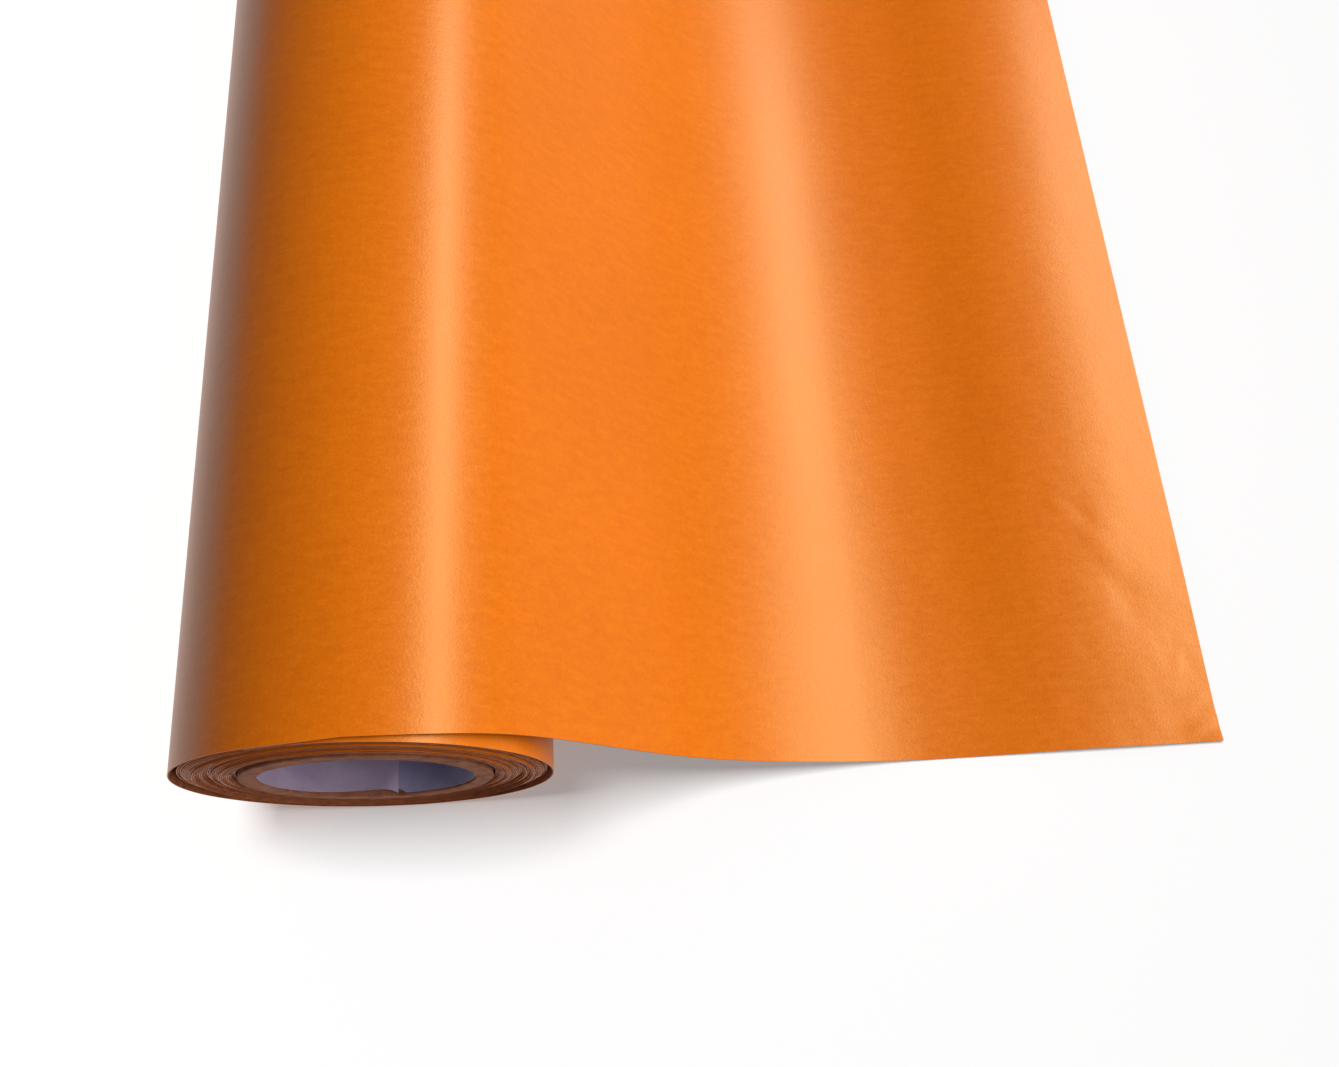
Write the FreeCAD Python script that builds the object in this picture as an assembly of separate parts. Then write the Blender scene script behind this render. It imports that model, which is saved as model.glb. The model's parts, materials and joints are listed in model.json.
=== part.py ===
"""Wide roll of self-adhesive copper foil on a paper core, with its free end laid out flat beside it.

The roll's axis is Y, Z is up, and the sheet leaves the top of the roll towards +X and comes down to the
surface that everything rests on. The origin is on the core's axis, halfway along it. Sizes are millimetres.

The web is one laminate of three layers: copper foil outermost, adhesive, and release liner innermost. It is
wound round the core many times (the roll), makes one looser outer turn, and leaves that turn at the exit
line to become the free sheet. Every curve is made of arcs in the XZ plane, extruded along Y.
"""

import FreeCAD
import Part

import math
import os

# Driving dimensions.
WEB_WIDTH = 200.0
ROLL_RADIUS = 22.7  # over the outer turn, at the exit line
BORE_RADIUS = 12.7  # inside the paper core's lining: a one-inch core
SHEET_REACH = 113.7  # from the core's axis to the sheet's cut end

# The laminate, from the outside in.
FOIL = 0.05
ADHESIVE = 0.05
LINER = 0.10
WEB = FOIL + ADHESIVE + LINER
LAYERS = {"foil": (0.0, FOIL), "adhesive": (FOIL, FOIL + ADHESIVE), "liner": (FOIL + ADHESIVE, WEB)}

# The outer turn, which is loose enough for the roll to turn inside it.
EXIT_SLOPE = 5.5  # degrees below level, where the sheet leaves the outer turn
OUTER_TURN_PITCH = 0.5
ROLL_CLEARANCE = 0.3  # between the roll and the tightest place of the outer turn

# The turns wound on the core.
HALF_TURNS = 61

# The core: a board tube with a loose paper lining, and the tape that holds the web's inner end.
LINING = 0.15
LINING_LAP = 66.0  # degrees of lining that lie on the lining's own first end
LINING_LAP_GAP = 0.03
LINING_RAMP = 8.0  # degrees in which the lining climbs over its first end
LINING_SEAM = 275.0  # degrees, polar angle of the lining's inner end
CORE_WALL = 2.15
CORE_OVERHANG = 0.2  # how far the core stands out of the web at each end
START_TAPE = 0.10
START_TAPE_WIDTH = 12.0

# The free sheet, from the exit line to its cut end. Slopes are degrees below level.
HINGE_GAP = 0.3  # where it joins the outer turn
CREST_RADIUS = 26.0  # where it bends down
STEEPEST_SLOPE = 49.5
FOOT_RADIUS = 53.0  # where it levels out on the table, and where it leaves it again
REST_LENGTH = 2.0  # the strip that lies on the table
RISE_SLOPE = 8.0
RISE_LENGTH = 4.0
CURL_RADIUS = 53.0  # the curl that brings the cut end down again
END_SLOPE = 5.2
END_LENGTH = 20.0  # the straight run at the cut end, before it is trimmed
SETBACK = 1.2  # how far the sheet stands along +Y of the outer turn, at the exit line
SKEW = 0.014  # how far the sheet's edges drift along Y, per millimetre of X
END_SLANT = 0.034  # how far the cut end drifts along -X, per millimetre of Y

# Worked out from the above.
EXIT_ANGLE = 90.0 - EXIT_SLOPE
TUBE_INNER = BORE_RADIUS + LINING
TUBE_OUTER = TUBE_INNER + CORE_WALL
PACK_RADIUS = ROLL_RADIUS - OUTER_TURN_PITCH - WEB - ROLL_CLEARANCE
WINDING_PITCH = (PACK_RADIUS - WEB - TUBE_OUTER - START_TAPE) / (HALF_TURNS / 2)


def polar(angle, radius, centre=(0.0, 0.0)):
    """The point in the XZ plane at that polar angle, in degrees from +X towards +Z."""
    a = math.radians(angle)
    return (centre[0] + radius * math.cos(a), centre[1] + radius * math.sin(a))


def vector(point, y=0.0):
    return FreeCAD.Vector(point[0], y, point[1])


def arc(centre, radius, start, end):
    """The arc from one polar angle to another, which may be the smaller."""
    points = [vector(polar(a, radius, centre)) for a in (start, (start + end) / 2, end)]
    return Part.Arc(*points).toShape()


def line(a, b):
    return Part.LineSegment(vector(a), vector(b)).toShape()


def end_point(edges, last):
    """Where a run of edges in the XZ plane ends (last) or starts."""
    edge = edges[-1] if last else edges[0]
    vertex = edge.Vertexes[-1 if last else 0].Point
    return (vertex.x, vertex.z)


def ribbon(outside, inside, width):
    """The solid between two runs of edges that go the same way, as wide as said, centred on Y = 0."""
    caps = [
        line(end_point(outside, True), end_point(inside, True)),
        line(end_point(inside, False), end_point(outside, False)),
    ]
    edges = [*outside, *inside, *caps]
    face = Part.Face(Part.Wire(Part.__sortEdges__(edges)))
    face.translate(FreeCAD.Vector(0, -width / 2, 0))
    return face.extrude(FreeCAD.Vector(0, width, 0))


def spiral(radius, depth, pitch, half_turns):
    """Half-circle arcs that wind inwards from the exit angle, as the web does, depth below its outer face."""
    edges = []
    for k in range(half_turns):
        side = 1 if k % 2 == 0 else -1
        centre = polar(EXIT_ANGLE, side * pitch / 4)
        start = EXIT_ANGLE + 180.0 * k
        edges.append(arc(centre, radius - pitch / 4 - k * pitch / 2 - depth, start, start + 180.0))
    return edges


def wound(radius, pitch, half_turns, layer):
    """One layer of the web, wound inwards from that radius."""
    near, far = LAYERS[layer]
    return ribbon(
        spiral(radius, near, pitch, half_turns), spiral(radius, far, pitch, half_turns), WEB_WIDTH
    )


def floor_level():
    """The height of the surface that the outer turn stands on."""
    lowest = spiral(ROLL_RADIUS, 0.0, OUTER_TURN_PITCH, 2)[1]
    return lowest.BoundBox.ZMin


def descent():
    """The length of the straight run down between the crest and the foot."""
    steepest, first = math.radians(STEEPEST_SLOPE), math.radians(EXIT_SLOPE)
    drop = polar(EXIT_ANGLE, ROLL_RADIUS)[1] - floor_level() - WEB
    drop -= CREST_RADIUS * (math.cos(first) - math.cos(steepest))
    drop -= FOOT_RADIUS * (1.0 - math.cos(steepest))
    return drop / math.sin(steepest)


def course():
    """The free sheet's pieces in order: a bend's radius and last slope, or None and a straight run's length.

    The radius is negative where the sheet turns upwards.
    """
    return [
        (CREST_RADIUS, STEEPEST_SLOPE),
        (None, descent()),
        (-FOOT_RADIUS, 0.0),
        (None, REST_LENGTH),
        (-FOOT_RADIUS, -RISE_SLOPE),
        (None, RISE_LENGTH),
        (CURL_RADIUS, END_SLOPE),
        (None, END_LENGTH),
    ]


def sheet_run(depth):
    """The free sheet's line from the exit to beyond its cut end, depth below its top face."""
    point, slope = polar(EXIT_ANGLE, ROLL_RADIUS), EXIT_SLOPE
    gap = math.degrees(HINGE_GAP / CREST_RADIUS)
    edges = []
    for radius, size in course():
        up = 90.0 - slope
        if radius is None:
            ahead = polar(up - 90.0, size, point)
            edges.append(line(polar(up, -depth, point), polar(up, -depth, ahead)))
            point = ahead
        else:
            centre = polar(up, -radius, point)
            start = up if edges else up - gap
            edges.append(arc(centre, radius - depth, start, 90.0 - size))
            point, slope = polar(90.0 - size, radius, centre), size
    return edges


def sheet_outline():
    """The prism that trims the free sheet to its four edges."""
    x, y = polar(EXIT_ANGLE, ROLL_RADIUS)[0], SETBACK - WEB_WIDTH / 2
    drift = SKEW * (SHEET_REACH - x)
    corners = [
        (x, y),
        (SHEET_REACH, y + drift),
        (SHEET_REACH - END_SLANT * WEB_WIDTH, y + drift + WEB_WIDTH),
        (x, y + WEB_WIDTH),
    ]
    low, height = floor_level() - 1.0, 2 * ROLL_RADIUS + 2.0
    points = [FreeCAD.Vector(cx, cy, low) for cx, cy in corners]
    return Part.Face(Part.makePolygon([*points, points[0]])).extrude(FreeCAD.Vector(0, 0, height))


def sheet(layer):
    """One layer of the free sheet."""
    near, far = LAYERS[layer]
    wide = ribbon(sheet_run(near), sheet_run(far), WEB_WIDTH * 1.2)
    return wide.common(sheet_outline()).Solids[0]


def core_tube():
    length = WEB_WIDTH + 2 * CORE_OVERHANG
    start, along = FreeCAD.Vector(0, -length / 2, 0), FreeCAD.Vector(0, 1, 0)
    outer = Part.makeCylinder(TUBE_OUTER, length, start, along)
    return outer.cut(Part.makeCylinder(TUBE_INNER, length, start, along))


def core_lining():
    """A strip of paper rolled inside the tube, whose inner end laps over its outer end."""
    lap_start = LINING_SEAM - LINING_LAP
    lap_radius = BORE_RADIUS - LINING_LAP_GAP

    def run(depth):
        on_tube = arc((0, 0), TUBE_INNER - depth, lap_start, lap_start + 360.0 - LINING_RAMP)
        on_lap = arc((0, 0), lap_radius - depth, lap_start, LINING_SEAM)
        climb = line(end_point([on_tube], True), end_point([on_lap], False))
        return [on_tube, climb, on_lap]

    return ribbon(run(0.0), run(LINING), WEB_WIDTH)


def start_tape():
    """Double-sided tape along the core, under the web's inner end."""
    end = EXIT_ANGLE + 180.0 * HALF_TURNS
    half = math.degrees(START_TAPE_WIDTH / TUBE_OUTER) / 2
    outside = [arc((0, 0), TUBE_OUTER + START_TAPE, end - half, end + half)]
    inside = [arc((0, 0), TUBE_OUTER, end - half, end + half)]
    return ribbon(outside, inside, WEB_WIDTH)


def main():
    parts = {"core_tube": core_tube(), "core_lining": core_lining(), "start_tape": start_tape()}
    for layer in LAYERS:
        parts["wound_" + layer] = wound(PACK_RADIUS, WINDING_PITCH, HALF_TURNS, layer)
        parts["outer_turn_" + layer] = wound(ROLL_RADIUS, OUTER_TURN_PITCH, 2, layer)
        parts["sheet_" + layer] = sheet(layer)
    os.makedirs("parts", exist_ok=True)
    for name, shape in parts.items():
        shape.exportStep("parts/" + name + ".step")
        print(name, shape.isValid(), len(shape.Solids), len(shape.Faces), round(shape.Volume, 2))
    print("pitch", WINDING_PITCH, "floor", floor_level(), "exit", polar(EXIT_ANGLE, ROLL_RADIUS))


main()
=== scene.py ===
"""The finish of the copper foil roll: the wound web, its core, the free sheet, and a small studio.

Lengths are in millimetres until a mesh is made, which is in metres. The roll's axis is Y.
"""

import json
import math

import bpy
import numpy as np
from mathutils import Matrix, Vector, noise

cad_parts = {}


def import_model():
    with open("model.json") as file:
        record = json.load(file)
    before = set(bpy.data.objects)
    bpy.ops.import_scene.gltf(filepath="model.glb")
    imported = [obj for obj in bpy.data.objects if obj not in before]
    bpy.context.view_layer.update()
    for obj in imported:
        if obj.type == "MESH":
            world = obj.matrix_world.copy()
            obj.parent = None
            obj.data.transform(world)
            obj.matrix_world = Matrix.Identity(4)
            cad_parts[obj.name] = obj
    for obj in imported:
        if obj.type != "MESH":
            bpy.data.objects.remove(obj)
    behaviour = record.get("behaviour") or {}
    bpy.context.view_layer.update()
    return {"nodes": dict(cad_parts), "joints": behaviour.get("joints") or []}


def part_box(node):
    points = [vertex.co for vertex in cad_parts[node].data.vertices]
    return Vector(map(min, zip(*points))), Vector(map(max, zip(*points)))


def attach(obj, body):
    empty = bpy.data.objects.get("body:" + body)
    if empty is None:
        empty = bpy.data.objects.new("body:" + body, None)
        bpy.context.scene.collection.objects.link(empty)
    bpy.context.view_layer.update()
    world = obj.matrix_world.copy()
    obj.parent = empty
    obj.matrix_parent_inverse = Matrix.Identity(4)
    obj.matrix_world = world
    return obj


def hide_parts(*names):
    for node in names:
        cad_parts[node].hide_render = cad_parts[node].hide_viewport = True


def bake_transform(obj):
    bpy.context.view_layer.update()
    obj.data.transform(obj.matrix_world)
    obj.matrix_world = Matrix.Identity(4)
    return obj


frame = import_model()

MM = 0.001
rng = np.random.default_rng(7)


def low(node):
    """The low corner of a CAD node's box."""
    return np.array(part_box(node)[0]) / MM


def high(node):
    """The high corner of a CAD node's box."""
    return np.array(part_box(node)[1]) / MM


# Sizes from the frame.
hinge = next(j for j in frame["joints"] if j["name"] == "sheet_lift")
EXIT = np.array([hinge["pos_m"][0], hinge["pos_m"][2]]) / MM
ROLL_RADIUS = float(np.hypot(*EXIT))
EXIT_ANGLE = math.degrees(math.atan2(EXIT[1], EXIT[0]))
NEAR, FAR = low("outer_turn_foil")[1], high("outer_turn_foil")[1]
WIDTH = FAR - NEAR
FLOOR = min(low("outer_turn_foil")[2], low("sheet_liner")[2])
REACH = high("sheet_foil")[0]
TUBE_OUTER = high("core_tube")[0]
TUBE_NEAR, TUBE_FAR = low("core_tube")[1], high("core_tube")[1]
TUBE_INNER = high("core_lining")[0]

# The laminate, as in the CAD model.
FOIL, ADHESIVE, LINER = 0.05, 0.05, 0.10
WEB = FOIL + ADHESIVE + LINER
LAYERS = {"foil": (0.0, FOIL), "adhesive": (FOIL, FOIL + ADHESIVE), "liner": (FOIL + ADHESIVE, WEB)}
OUTER_TURN_PITCH = 0.5
OUTER_TURNS = 1.08  # it runs a little way under its own start
OUTER_TURN_GRID = {"steps": 360, "columns": 41}  # points for each turn, and across the web
ROLL_CLEARANCE = 0.3
PACK_RADIUS = ROLL_RADIUS - OUTER_TURN_PITCH - WEB - ROLL_CLEARANCE
START_TAPE = 0.10
TURNS = 30.5
WINDING_PITCH = (PACK_RADIUS - WEB - TUBE_OUTER - START_TAPE) / TURNS
WOUND_GRID = {"steps": 120, "columns": 2}

# How unevenly the web's edges lie at the roll's ends.
EDGE_SETBACK_LENGTH = 9.0  # length over which the outer turn comes back from the sheet's setback
EDGE_STRAY_PER_MM = 0.05  # how quickly a cut edge strays along the web
OUTER_EDGE_STRAY = 0.05
WOUND_EDGE_STRAY = 0.08
WOUND_EDGE_INSET = 0.25
TURN_SHIFT = 0.07  # spread of the turns' own shifts
SWELLS = [(0.22, 0.42, 1.0), (0.10, 1.3, 0.0)]  # size, radians for each turn, and phase
TUCK = {"foil": 0.0, "adhesive": 0.05, "liner": -0.03}  # how far each layer is drawn in

# The free sheet, as in the CAD model but for its last curl. Slopes are below level.
CREST_RADIUS = 26.0
EXIT_SLOPE = math.radians(90.0 - EXIT_ANGLE)
STEEPEST_SLOPE = math.radians(49.5)
FOOT_RADIUS = 53.0
REST_LENGTH = 2.0
RISE_SLOPE = math.radians(8.0)
RISE_LENGTH = 4.0
CURL_RADIUS = 75.0  # a little gentler than the CAD model's
END_SLOPE = math.radians(5.2)
END_LENGTH = 20.0  # more than enough to pass the cut end
END_SLANT = 0.034  # how far the cut end drifts along -X, per millimetre of Y
SETBACK = 0.45  # how far the sheet stands along +Y of the outer turn, at the exit line
CREST_DRIFT = 1.15  # how much farther its edges drift along Y over the crest
CREST_DRIFT_LENGTH = 28.0
SKEW = 0.0118  # how far its edges drift along Y, per millimetre of developed length
STEP = 0.1  # spacing of the points that its course is worked out at
LEVEL = math.radians(0.2)  # a slope that counts as level
BEND_EASING = 1.5  # length over which one bend passes into the next
NEAR_RISE = 0.55  # how much of the rise is left at the near edge
NEAR_RISE_REACH = 22.0
FINE_GRID_ACROSS = 48.0  # width of the strip along the near edge that has the finer grid
FINE_GRID_ALONG = 0.55  # share of the length after which the grid is finer
ACROSS_STEPS = (1.4, 0.5)
ALONG_STEPS = (0.008, 0.0038)
FLARE = 0.8  # how much higher the foot starts at the near edge
FLARE_PLACE, FLARE_WIDTH, FLARE_REACH = 58.0, 14.0, 38.0
WAVE_START, WAVE_FULL = 64.0, 90.0  # where along X the sheet starts to wave, and where it waves fully
SLOW_WAVE, SMALL_WAVE, FINE_WAVE = 0.22, 0.050, 0.010  # heights
SMALL_WAVE_REACH, FINE_WAVE_REACH = 40.0, 45.0  # how far from the near edge they stay strong
CREASES = [  # x, distance from the near edge, heading in degrees, half length, half width, height
    (95.3, 36.4, -52.0, 1.5, 0.75, 0.055),
    (99.2, 34.2, -58.0, 2.4, 1.30, -0.085),
    (111.2, 14.4, -8.0, 2.0, 0.45, 0.035),
    (109.6, 11.6, 78.0, 2.0, 0.60, 0.025),
    (111.6, 2.5, 22.0, 3.4, 1.00, 0.150),
    (87.5, 20.5, 80.0, 1.4, 0.60, 0.030),
    (103.5, 22.0, -70.0, 6.0, 2.40, -0.120),
    (101.5, 29.0, -62.0, 5.0, 2.20, 0.080),
    (30.0, 30.0, 66.0, 26.0, 1.60, -0.030),
    (10.2, 68.0, 24.0, 2.4, 1.20, -0.040),
    (114.2, -0.8, 35.0, 5.0, 2.60, 0.450),
    (111.6, 6.4, 14.0, 2.2, 0.50, 0.055),
]

# The paper lining, as in the CAD model but for its loose corner and ends.
LINING = 0.15
LINING_LAP = 66.0
LINING_SEAM = 275.0
LINING_RAMP = 8.0
LINING_GAP = 0.03
LAP_CURL = 1.3  # how far the lap's loose corner lifts off the lining below
LAP_CURL_REACH = 4.0
LAP_SETBACK = 0.75
FIRST_END_SETBACK = 1.5
FIRST_END_PLACE, FIRST_END_REACH = 36.0, 34.0
LINING_STRAY = 0.10
UNDER_SHADE_TO, LAP_LIGHT_FROM = 280.0, 345.0  # angles between which the paper goes from the painted shade on the ply beneath to the painted light on the lap

# The board tube.
TUBE_STEPS = 144
TUBE_STRAY = 0.05
TUBE_END = [  # distance from the tube's inner wall, and how far back the end lies there
    (0.0, 0.12), (0.12, 0.0), (0.5, 0.02), (0.95, -0.01), (1.4, 0.02),
]
TUBE_RIM = [(-0.14, 0.0), (0.0, 0.14)]  # the same, from its outer wall

# The studio, in metres, watts and degrees.
CAMERA_PLACE = (0.03509, -0.12665, 0.15159)
CAMERA_TILT, CAMERA_TURN = 20.4, -2.83
CAMERA_LENS = 33.6
KEY = {"direction": (0.70, 0.15, 0.714), "distance": 1.0, "size": (0.20, 1.4), "power": 17.8}
WASH = {"direction": (-0.14, 0.0, 0.99), "distance": 1.2, "size": (0.35, 0.35), "power": 12.5}
FLOOR_SIZE = 3.0
FLOOR_DROP = 0.00002  # how far the floor lies below the roll
FLOOR_TONE = 0.80
FLOOR_GLOW = 0.25
WORLD_GLOW = 0.14

SHARP_ANGLE = math.radians(35)


def mesh_object(name, verts, faces, uvs, material):
    """A mesh object from points in millimetres, with one UV pair, in metres, for each point."""
    mesh = bpy.data.meshes.new(name)
    mesh.from_pydata([tuple(v) for v in np.asarray(verts) * MM], [], [tuple(f) for f in faces])
    layer = mesh.uv_layers.new(name="web")
    corner = np.empty(len(mesh.loops), dtype=np.int64)
    mesh.loops.foreach_get("vertex_index", corner)
    layer.data.foreach_set("uv", (uvs[corner] * MM).astype(np.float32).ravel())
    mesh.validate()
    mesh.update()
    piece = bpy.data.objects.new(name, mesh)
    bpy.context.scene.collection.objects.link(piece)
    mesh.shade_smooth()
    mesh.set_sharp_from_angle(angle=SHARP_ANGLE)
    mesh.materials.append(material)
    return piece


def shell(name, outer, inner, uvs, material):
    """A thin closed solid between two grids of points, each (rows, columns, 3)."""
    rows, columns, _ = outer.shape
    verts = np.concatenate([outer.reshape(-1, 3), inner.reshape(-1, 3)])
    base = rows * columns
    faces = []
    for i in range(rows - 1):
        a, b = i * columns, (i + 1) * columns
        for j in range(columns - 1):
            faces.append((a + j, a + j + 1, b + j + 1, b + j))
            faces.append((base + a + j, base + b + j, base + b + j + 1, base + a + j + 1))
        for j, flip in ((0, False), (columns - 1, True)):
            rim = (a + j, b + j, base + b + j, base + a + j)
            faces.append(rim[::-1] if flip else rim)
    for i, flip in ((0, True), (rows - 1, False)):
        a = i * columns
        for j in range(columns - 1):
            rim = (a + j, a + j + 1, base + a + j + 1, base + a + j)
            faces.append(rim[::-1] if flip else rim)
    both = np.concatenate([uvs.reshape(-1, 2)] * 2)
    return mesh_object(name, verts, faces, both, material)


def fbm(x, y, z):
    """Fractal noise, mostly between -1 and 1."""
    return noise.fractal(Vector((x, y, z)), 1.0, 2.1, 3)


# Materials.


def principled(name):
    material = bpy.data.materials.new(name)
    material.use_nodes = True
    nodes = material.node_tree.nodes
    return material, nodes, material.node_tree.links, nodes["Principled BSDF"]


def ramp(nodes, stops):
    node = nodes.new("ShaderNodeValToRGB")
    while len(node.color_ramp.elements) < len(stops):
        node.color_ramp.elements.new(0.5)
    for element, (position, colour) in zip(node.color_ramp.elements, stops):
        element.position = position
        element.color = (*colour, 1.0)
    return node


def noise_node(nodes, links, vector, scale, detail=3.0, roughness=0.55):
    node = nodes.new("ShaderNodeTexNoise")
    node.inputs["Scale"].default_value = scale
    node.inputs["Detail"].default_value = detail
    node.inputs["Roughness"].default_value = roughness
    links.new(vector, node.inputs["Vector"])
    return node


def stretched(nodes, links, vector, scale):
    node = nodes.new("ShaderNodeMapping")
    node.inputs["Scale"].default_value = scale
    links.new(vector, node.inputs["Vector"])
    return node.outputs["Vector"]


def maths(nodes, links, operation, a, b):
    node = nodes.new("ShaderNodeMath")
    node.operation = operation
    for socket, value in zip(node.inputs, (a, b)):
        if isinstance(value, (int, float)):
            socket.default_value = value
        else:
            links.new(value, socket)
    return node.outputs[0]


def copper_foil():
    """Satin orange copper: fine grain, faint wisps across the web, and slow cloudy changes."""
    material, nodes, links, shader = principled("copper_foil")
    uv = nodes.new("ShaderNodeUVMap")
    uv.uv_map = "web"
    place = uv.outputs["UV"]
    grain = noise_node(nodes, links, place, 3200.0, 2.0)
    speckle = noise_node(nodes, links, place, 1100.0, 3.0, 0.7)
    wisps = noise_node(nodes, links, stretched(nodes, links, place, (0.35, 1.0, 1.0)), 900.0, 3.0, 0.65)
    clouds = noise_node(nodes, links, place, 28.0, 3.0)
    fine = maths(nodes, links, "MULTIPLY", grain.outputs["Fac"], 0.35)
    middle = maths(nodes, links, "MULTIPLY", speckle.outputs["Fac"], 0.30)
    wide = maths(nodes, links, "MULTIPLY", wisps.outputs["Fac"], 0.35)
    mixed = maths(nodes, links, "ADD", maths(nodes, links, "ADD", fine, middle), wide)
    dark, middle_tone, pale = (0.52, 0.105, 0.002), (0.59, 0.130, 0.002), (0.66, 0.160, 0.003)
    tint = ramp(nodes, [(0.30, dark), (0.50, middle_tone), (0.70, pale)])
    links.new(mixed, tint.inputs["Fac"])
    cloud_tint = nodes.new("ShaderNodeMix")
    cloud_tint.data_type = "RGBA"
    cloud_tint.blend_type = "MULTIPLY"
    cloud_tint.inputs["Factor"].default_value = 1.0
    cloud_ramp = ramp(nodes, [(0.35, (0.95, 0.93, 0.90)), (0.65, (1.0, 1.0, 1.0))])
    links.new(clouds.outputs["Fac"], cloud_ramp.inputs["Fac"])
    links.new(tint.outputs["Color"], cloud_tint.inputs["A"])
    links.new(cloud_ramp.outputs["Color"], cloud_tint.inputs["B"])
    links.new(cloud_tint.outputs["Result"], shader.inputs["Base Color"])
    rough = nodes.new("ShaderNodeMapRange")
    rough.inputs["From Min"].default_value = 0.3
    rough.inputs["From Max"].default_value = 0.7
    rough.inputs["To Min"].default_value = 0.30
    rough.inputs["To Max"].default_value = 0.38
    links.new(mixed, rough.inputs["Value"])
    links.new(rough.outputs["Result"], shader.inputs["Roughness"])
    bump = nodes.new("ShaderNodeBump")
    bump.inputs["Strength"].default_value = 0.8
    bump.inputs["Distance"].default_value = 0.00006
    links.new(mixed, bump.inputs["Height"])
    links.new(bump.outputs["Normal"], shader.inputs["Normal"])
    shader.inputs["Metallic"].default_value = 0.01
    shader.inputs["Specular IOR Level"].default_value = 0.32
    shader.inputs["Specular Tint"].default_value = (1.0, 0.95, 0.48, 1.0)
    return material


def layered_edge(name, dark, pale, scale, roughness):
    """Paper, board or adhesive: a fibrous mottle between two tones."""
    material, nodes, links, shader = principled(name)
    place = nodes.new("ShaderNodeTexCoord").outputs["Object"]
    mottle = noise_node(nodes, links, place, scale, 4.0, 0.6)
    tint = ramp(nodes, [(0.3, dark), (0.7, pale)])
    links.new(mottle.outputs["Fac"], tint.inputs["Fac"])
    links.new(tint.outputs["Color"], shader.inputs["Base Color"])
    bump = nodes.new("ShaderNodeBump")
    bump.inputs["Strength"].default_value = 0.4
    bump.inputs["Distance"].default_value = 0.00003
    links.new(mottle.outputs["Fac"], bump.inputs["Height"])
    links.new(bump.outputs["Normal"], shader.inputs["Normal"])
    shader.inputs["Roughness"].default_value = roughness
    shader.inputs["Specular IOR Level"].default_value = 0.08
    return material


def lining_paper():
    """White paper, painted a dark lavender-grey as painted shade in the bore; the lap is painted a little
    lighter and warmer than the ply under it, as painted light.
    """
    material, nodes, links, shader = principled("lining_paper")
    uv = nodes.new("ShaderNodeUVMap")
    uv.uv_map = "web"
    split = nodes.new("ShaderNodeSeparateXYZ")
    links.new(uv.outputs["UV"], split.inputs["Vector"])
    on_lap = nodes.new("ShaderNodeMapRange")
    on_lap.inputs["From Min"].default_value = UNDER_SHADE_TO * MM
    on_lap.inputs["From Max"].default_value = LAP_LIGHT_FROM * MM
    links.new(split.outputs["X"], on_lap.inputs["Value"])
    place = nodes.new("ShaderNodeTexCoord").outputs["Object"]
    mottle = noise_node(nodes, links, place, 260.0, 4.0, 0.6)
    # painted shade: the ply under the lap is painted darker and bluer than its white paper
    under = ramp(nodes, [(0.3, (0.26, 0.23, 0.36)), (0.7, (0.34, 0.30, 0.45))])
    # painted light: the lap is painted lighter and warmer than the ply under it
    over = ramp(nodes, [(0.3, (0.30, 0.23, 0.32)), (0.7, (0.39, 0.30, 0.40))])
    tint = nodes.new("ShaderNodeMix")
    tint.data_type = "RGBA"
    for source, socket in ((under, "A"), (over, "B")):
        links.new(mottle.outputs["Fac"], source.inputs["Fac"])
        links.new(source.outputs["Color"], tint.inputs[socket])
    links.new(on_lap.outputs["Result"], tint.inputs["Factor"])
    links.new(tint.outputs["Result"], shader.inputs["Base Color"])
    shader.inputs["Roughness"].default_value = 0.5
    shader.inputs["Specular IOR Level"].default_value = 0.2
    return material


MATERIALS = {
    "foil": copper_foil(),
    "adhesive": layered_edge("adhesive", (0.20, 0.055, 0.016), (0.34, 0.12, 0.045), 900.0, 0.5),
    "liner": layered_edge("release_liner", (0.18, 0.046, 0.015), (0.32, 0.105, 0.040), 700.0, 0.7),
    "board": layered_edge("core_board", (0.17, 0.058, 0.032), (0.31, 0.125, 0.070), 500.0, 0.85),
    "lining": lining_paper(),
    "tape": layered_edge("tape_film", (0.60, 0.55, 0.40), (0.75, 0.70, 0.55), 300.0, 0.4),
}


# The web.


def edge_wobble(s, seed, size):
    """How far a cut edge strays from its line at developed length s."""
    return size * fbm(s * EDGE_STRAY_PER_MM, seed * 3.7, 0.3)


def stretches():
    """The free sheet's bends and straight runs: how much each turns down per millimetre, and its length."""
    drop = EXIT[1] - FLOOR - WEB
    drop -= CREST_RADIUS * (math.cos(EXIT_SLOPE) - math.cos(STEEPEST_SLOPE))
    drop -= FOOT_RADIUS * (1.0 - math.cos(STEEPEST_SLOPE))
    return [
        (1 / CREST_RADIUS, CREST_RADIUS * (STEEPEST_SLOPE - EXIT_SLOPE)),
        (0.0, drop / math.sin(STEEPEST_SLOPE)),
        (-1 / FOOT_RADIUS, FOOT_RADIUS * STEEPEST_SLOPE),
        (0.0, REST_LENGTH),
        (-1 / FOOT_RADIUS, FOOT_RADIUS * RISE_SLOPE),
        (0.0, RISE_LENGTH),
        (1 / CURL_RADIUS, CURL_RADIUS * (RISE_SLOPE + END_SLOPE)),
        (0.0, END_LENGTH),
    ]


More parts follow.
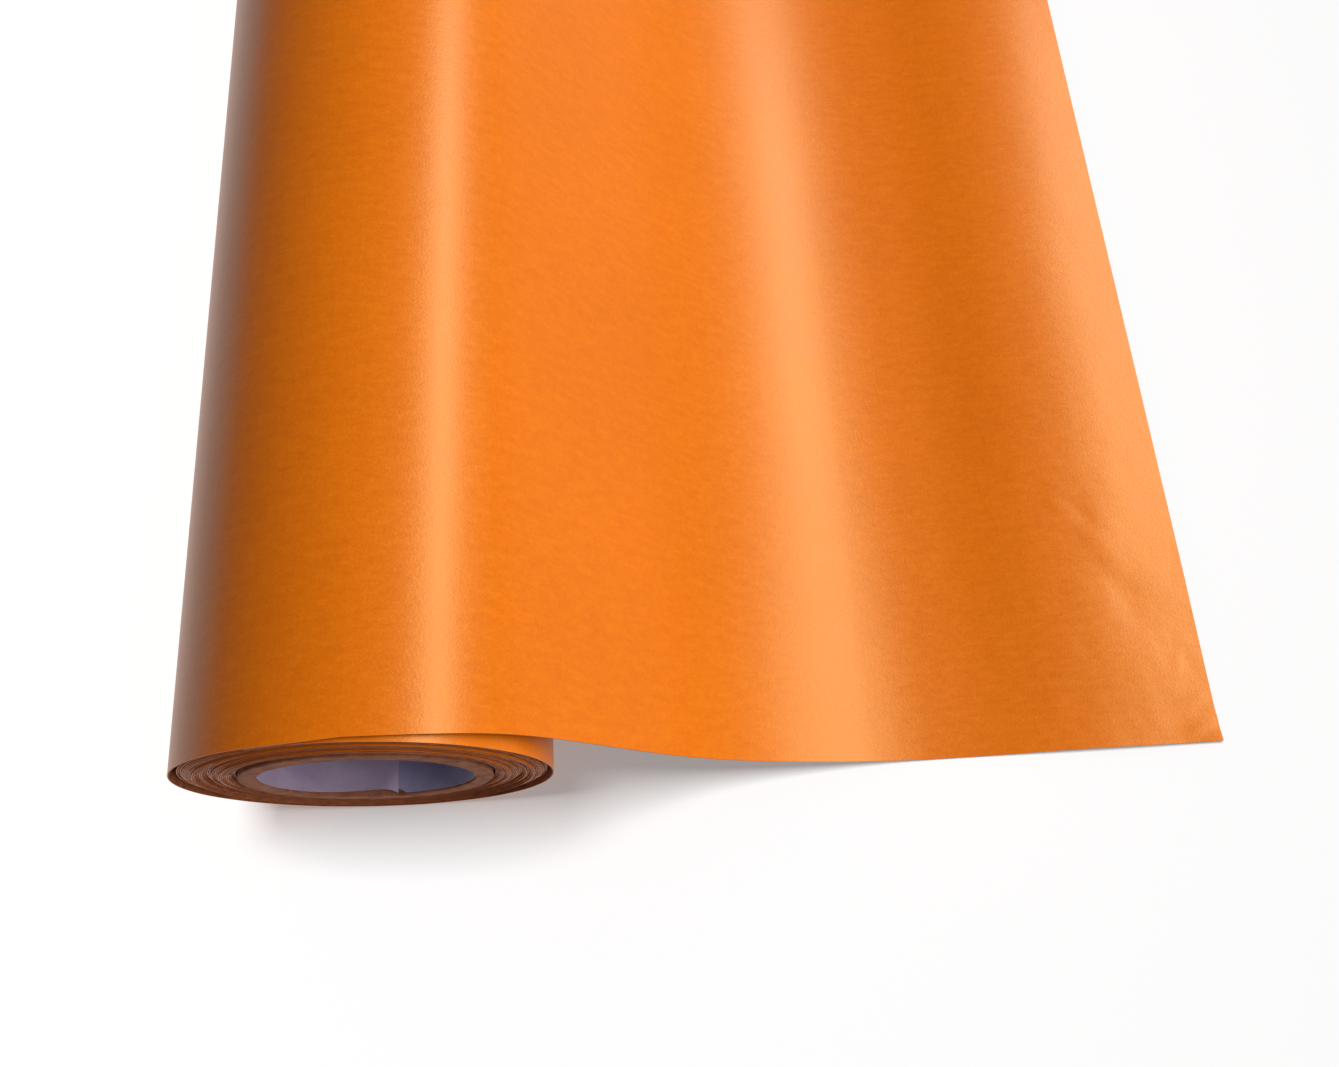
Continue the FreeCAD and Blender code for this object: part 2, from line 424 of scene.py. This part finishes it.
def sheet_course():
    """The line of the top face (s, x, z and slope at every STEP), and the x where it touches down."""
    bends = np.concatenate([np.full(round(length / STEP), turn) for turn, length in stretches()])
    reach = round(2 * BEND_EASING / STEP)
    kernel = np.hanning(2 * reach + 3)[1:-1]
    bends = np.convolve(np.pad(bends, reach, mode="edge"), kernel / kernel.sum(), mode="valid")
    slope = EXIT_SLOPE + np.concatenate([[0.0], np.cumsum(bends) * STEP])
    middle = (slope[1:] + slope[:-1]) / 2
    x = EXIT[0] + np.concatenate([[0.0], np.cumsum(np.cos(middle)) * STEP])
    z = EXIT[1] - np.concatenate([[0.0], np.cumsum(np.sin(middle)) * STEP])
    touch = int(np.argmax(slope < LEVEL))
    z -= (z[touch] - FLOOR - WEB) * np.clip(np.arange(len(z)) / touch, 0.0, 1.0)
    return (np.arange(len(z)) * STEP, x, z, slope), x[touch]


COURSE, TOUCH = sheet_course()


def crease(x, v, place):
    """The height at (x, v) of a short ridge, or dent if negative."""
    centre_x, centre_v, heading, half_length, half_width, height = place
    turn = math.radians(heading)
    along = (x - centre_x) * math.cos(turn) + (v - centre_v) * math.sin(turn)
    across = (v - centre_v) * math.cos(turn) - (x - centre_x) * math.sin(turn)
    return height * math.exp(-((along / half_length) ** 2) - (across / half_width) ** 2)


def lift(x, v):
    """How far the sheet stands off its course, at x and distance v from the near edge."""
    waving = float(np.clip((x - WAVE_START) / (WAVE_FULL - WAVE_START), 0.0, 1.0))
    slow = SLOW_WAVE * (0.6 + fbm(x * 0.012, v * 0.012, 1.7))
    small = SMALL_WAVE * (1.0 + fbm(x * 0.10 + v * 0.03, v * 0.06, 5.2))
    small *= 0.35 + math.exp(-v / SMALL_WAVE_REACH)
    fine = FINE_WAVE * fbm(x * 0.28 + v * 0.10, v * 0.22, 9.1)
    fine *= 0.3 + math.exp(-v / FINE_WAVE_REACH)
    flare = FLARE * math.exp(-(((x - FLARE_PLACE) / FLARE_WIDTH) ** 2) - (v / FLARE_REACH) ** 2)
    return flare + max(0.0, waving * (slow + small + fine)) + sum(crease(x, v, place) for place in CREASES)


def edge_drift(s):
    """How far the sheet's edges have drifted along Y at developed length s."""
    t = min(1.0, s / CREST_DRIFT_LENGTH)
    return SETBACK + CREST_DRIFT * t * t * (3.0 - 2.0 * t) + SKEW * s


def uneven(stop, fine_from, coarse_step, fine_step):
    """Places from 0 to stop, closer together from fine_from on."""
    coarse = np.linspace(0.0, fine_from, round(fine_from / coarse_step))
    fine = np.linspace(fine_from, stop, round((stop - fine_from) / fine_step) + 1)
    return np.concatenate([coarse[:-1], fine])


def sheet_top():
    """The free sheet's top face: its points, the XZ normals that its layers lie along, and its UVs."""
    course_s, course_x, course_z, course_slope = COURSE
    across = WIDTH - uneven(WIDTH, WIDTH - FINE_GRID_ACROSS, *ACROSS_STEPS)[::-1]
    along = uneven(1.0, FINE_GRID_ALONG, *ALONG_STEPS)
    points, normals, uvs = (np.empty((len(along), len(across), n)) for n in (3, 3, 2))
    for j, v in enumerate(across):
        length = np.interp(REACH - END_SLANT * v, course_x, course_s)
        rise = 1.0 - (1.0 - NEAR_RISE) * math.exp(-((v / NEAR_RISE_REACH) ** 2))
        for i, s in enumerate(along * length):
            x, z, slope = (np.interp(s, course_s, line) for line in (course_x, course_z, course_slope))
            if x > TOUCH:
                z = FLOOR + WEB + rise * (z - FLOOR - WEB)
            normal = (math.sin(slope), 0.0, math.cos(slope))
            off = lift(x, v)
            points[i, j] = (x + normal[0] * off, NEAR + edge_drift(s) + v, z + normal[2] * off)
            normals[i, j] = normal
            uvs[i, j] = (s, v)
    return points, normals, uvs


def turn_grid(radius, pitch, turns, depth, edges, steps, columns):
    """Points of a web wound inwards from the exit line. edges(s, turn) gives its near and far edges."""
    points, uvs = [], []
    s = 0.0
    for i in range(int(turns * steps) + 1):
        theta = i / steps
        angle = math.radians(EXIT_ANGLE + 360.0 * theta)
        r = radius - pitch * theta - depth
        near, far = edges(s, theta)
        shares = [j / (columns - 1) for j in range(columns)]
        x, z = r * math.cos(angle), r * math.sin(angle)
        points.append([(x, near + (far - near) * share, z) for share in shares])
        uvs.append([(-s, WIDTH * share) for share in shares])
        s += 2 * math.pi * (radius - pitch * theta) / steps
    return np.array(points), np.array(uvs)


def outer_turn_edges(s, theta):
    setback = SETBACK * max(0.0, 1.0 - s / EDGE_SETBACK_LENGTH) ** 2
    stray = edge_wobble(s, 1.0, OUTER_EDGE_STRAY)
    return NEAR + setback + stray, FAR + setback + stray


turn_shift = rng.normal(0.0, TURN_SHIFT, int(TURNS) + 3)


def wound_edges(layer):
    """The wound turns stand unevenly at the ends of the roll."""
    tuck = TUCK[layer]

    def edges(s, theta):
        k = int(theta)
        blend = theta - k
        shift = turn_shift[k] * (1 - blend) + turn_shift[k + 1] * blend
        swell = sum(size * math.sin(theta * rate + phase) for size, rate, phase in SWELLS)
        stray = edge_wobble(s, 2.0, WOUND_EDGE_STRAY)
        step = shift + swell + stray + WOUND_EDGE_INSET
        return NEAR + step + tuck, FAR + step - tuck

    return edges


def web_pieces():
    sheet_points, sheet_normals, sheet_uvs = sheet_top()
    for layer, (near, far) in LAYERS.items():
        material = MATERIALS[layer]
        loose = (ROLL_RADIUS, OUTER_TURN_PITCH, OUTER_TURNS)
        top, uvs = turn_grid(*loose, near, outer_turn_edges, **OUTER_TURN_GRID)
        bottom, _ = turn_grid(*loose, far, outer_turn_edges, **OUTER_TURN_GRID)
        turn = shell("outer_turn_" + layer + "_web", top, bottom, uvs, material)
        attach(turn, "web")
        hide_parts("outer_turn_" + layer)

        pack = (PACK_RADIUS, WINDING_PITCH, TURNS)
        top, uvs = turn_grid(*pack, near, wound_edges(layer), **WOUND_GRID)
        bottom, _ = turn_grid(*pack, far, wound_edges(layer), **WOUND_GRID)
        wound = shell("wound_" + layer + "_turns", top, bottom, uvs, material)
        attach(wound, "roll")
        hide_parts("wound_" + layer)

        top, bottom = (sheet_points - sheet_normals * depth for depth in (near, far))
        free = shell("free_sheet_" + layer, top, bottom, sheet_uvs, material)
        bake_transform(free)
        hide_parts("sheet_" + layer)


# The core.


def core_tube():
    """The board tube, with softened and slightly uneven ends."""
    profile = [(TUBE_INNER + out, back) for out, back in TUBE_END]
    profile += [(TUBE_OUTER + out, back) for out, back in TUBE_RIM]
    rows = []
    for i in range(TUBE_STEPS):
        angle = 2 * math.pi * i / TUBE_STEPS
        row = []
        for r, back in profile:
            stray = TUBE_STRAY * fbm(math.cos(angle) * 2.0, math.sin(angle) * 2.0, r)
            row.append((r * math.cos(angle), TUBE_NEAR + back + stray, r * math.sin(angle)))
        for r, back in profile[::-1]:
            stray = TUBE_STRAY * fbm(math.cos(angle) * 2.0, math.sin(angle) * 2.0, r + 9.0)
            row.append((r * math.cos(angle), TUBE_FAR - back + stray, r * math.sin(angle)))
        rows.append(row)
    grid = np.array(rows)
    count = grid.shape[1]
    faces = []
    for i in range(TUBE_STEPS):
        a, b = i * count, (i + 1) % TUBE_STEPS * count
        for j in range(count):
            k = (j + 1) % count
            faces.append((a + j, b + j, b + k, a + k))
    uvs = np.zeros((TUBE_STEPS * count, 2))
    tube = mesh_object("core_tube_board", grid.reshape(-1, 3), faces, uvs, MATERIALS["board"])
    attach(tube, "roll")
    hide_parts("core_tube")


def lining_radius(angle, v):
    """The lining's outer radius at an angle in degrees past its first end, v from the near end.

    The lap's near corner lifts towards the lap's end and comes down again at the very end.
    """
    climb = float(np.clip((angle - 360.0 + LINING_RAMP) / LINING_RAMP, 0.0, 1.0))
    climb = climb * climb * (3.0 - 2.0 * climb)
    lap = float(np.clip((angle - 360.0) / LINING_LAP, 0.0, 1.0))
    lifted = LAP_CURL * lap**1.5 * (1.0 - lap**14) * math.exp(-v / LAP_CURL_REACH)
    return TUBE_INNER - climb * (LINING + LINING_GAP) - lifted


def lining_setback(angle):
    """How far in from the core's end the lining's near edge lies, at an angle past its first end."""
    stray = LINING_STRAY + LINING_STRAY * fbm(angle * 0.02, 3.3, 0.5)
    first_end = max(0.0, 1.0 - abs(angle - FIRST_END_PLACE) / FIRST_END_REACH)
    lap = float(np.clip((angle - 360.0) / LINING_LAP, 0.0, 1.0))
    return stray + FIRST_END_SETBACK * first_end**0.5 + LAP_SETBACK * lap**2 * (1.0 - lap**10)


def core_lining():
    total = 360.0 + LINING_LAP
    start = LINING_SEAM - LINING_LAP
    # Angles and places along Y, closer together at the lap and at the near end.
    angles = np.concatenate([np.linspace(0.0, 350.0, 140), np.linspace(351.0, total, 130)])
    ys = np.concatenate([np.linspace(0.0, 20.0, 50), np.linspace(22.0, WIDTH, 60)])
    outer = np.empty((len(angles), len(ys), 3))
    inner, uvs = outer.copy(), np.empty((len(angles), len(ys), 2))
    for i, angle in enumerate(angles):
        a = math.radians(start + angle)
        setback = lining_setback(angle)
        for j, v in enumerate(ys):
            r = lining_radius(angle, v)
            y = NEAR + v + setback * (1.0 - 2.0 * v / WIDTH)
            outer[i, j] = (r * math.cos(a), y, r * math.sin(a))
            inner[i, j] = ((r - LINING) * math.cos(a), y, (r - LINING) * math.sin(a))
            uvs[i, j] = (angle, v)
    piece = shell("core_lining_paper", outer, inner, uvs, MATERIALS["lining"])
    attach(piece, "roll")
    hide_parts("core_lining")


# The studio.


def camera():
    data = bpy.data.cameras.new("camera")
    data.sensor_width = 36.0
    data.lens = CAMERA_LENS
    eye = bpy.data.objects.new("camera", data)
    eye.location = CAMERA_PLACE
    eye.rotation_euler = (math.radians(CAMERA_TILT), 0.0, math.radians(CAMERA_TURN))
    data.clip_start, data.clip_end = 0.005, 20.0
    bpy.context.scene.collection.objects.link(eye)
    bpy.context.scene.camera = eye


def link_light(lamp, piece, state):
    """Let a lamp light only one piece (INCLUDE), or everything but that piece (EXCLUDE)."""
    linked = bpy.data.collections.new(lamp.name + "_receivers")
    linked.objects.link(piece)
    linked.collection_objects[0].light_linking.link_state = state
    lamp.light_linking.receiver_collection = linked


def area_light(name, direction, distance, size, power):
    data = bpy.data.lights.new(name, "AREA")
    data.shape = "RECTANGLE"
    data.size, data.size_y = size
    data.energy = power
    lamp = bpy.data.objects.new(name, data)
    aim = Vector(direction).normalized()
    lamp.location = aim * distance
    side = Vector((0, 1, 0)).cross(aim).normalized()
    lamp.rotation_mode = "QUATERNION"
    lamp.rotation_quaternion = Matrix((side, aim.cross(side), aim)).transposed().to_quaternion()
    bpy.context.scene.collection.objects.link(lamp)
    return lamp


def floor():
    z = FLOOR * MM - FLOOR_DROP
    corners = [(FLOOR_SIZE * i, FLOOR_SIZE * j, z) for i, j in ((-1, -1), (1, -1), (1, 1), (-1, 1))]
    mesh = bpy.data.meshes.new("floor")
    mesh.from_pydata(corners, [], [(0, 1, 2, 3)])
    plane = bpy.data.objects.new("floor", mesh)
    bpy.context.scene.collection.objects.link(plane)
    material, nodes, links, shader = principled("floor")
    shader.inputs["Base Color"].default_value = (FLOOR_TONE, FLOOR_TONE, FLOOR_TONE, 1.0)
    shader.inputs["Roughness"].default_value = 0.9
    shader.inputs["Emission Color"].default_value = (1.0, 1.0, 1.0, 1.0)
    shader.inputs["Emission Strength"].default_value = FLOOR_GLOW
    mesh.materials.append(material)
    return plane


def world():
    shade = bpy.data.worlds.new("world")
    bpy.context.scene.world = shade
    shade.use_nodes = True
    back = shade.node_tree.nodes["Background"]
    back.inputs["Color"].default_value = (1.0, 1.0, 1.0, 1.0)
    back.inputs["Strength"].default_value = WORLD_GLOW


camera()
bpy.context.scene.view_settings.view_transform = "Standard"
world()
ground = floor()
link_light(area_light("key_softbox", **KEY), ground, "EXCLUDE")
link_light(area_light("floor_wash", **WASH), ground, "INCLUDE")
web_pieces()
core_tube()
core_lining()
start_tape = frame["nodes"]["start_tape"].data
start_tape.materials.clear()
start_tape.materials.append(MATERIALS["tape"])
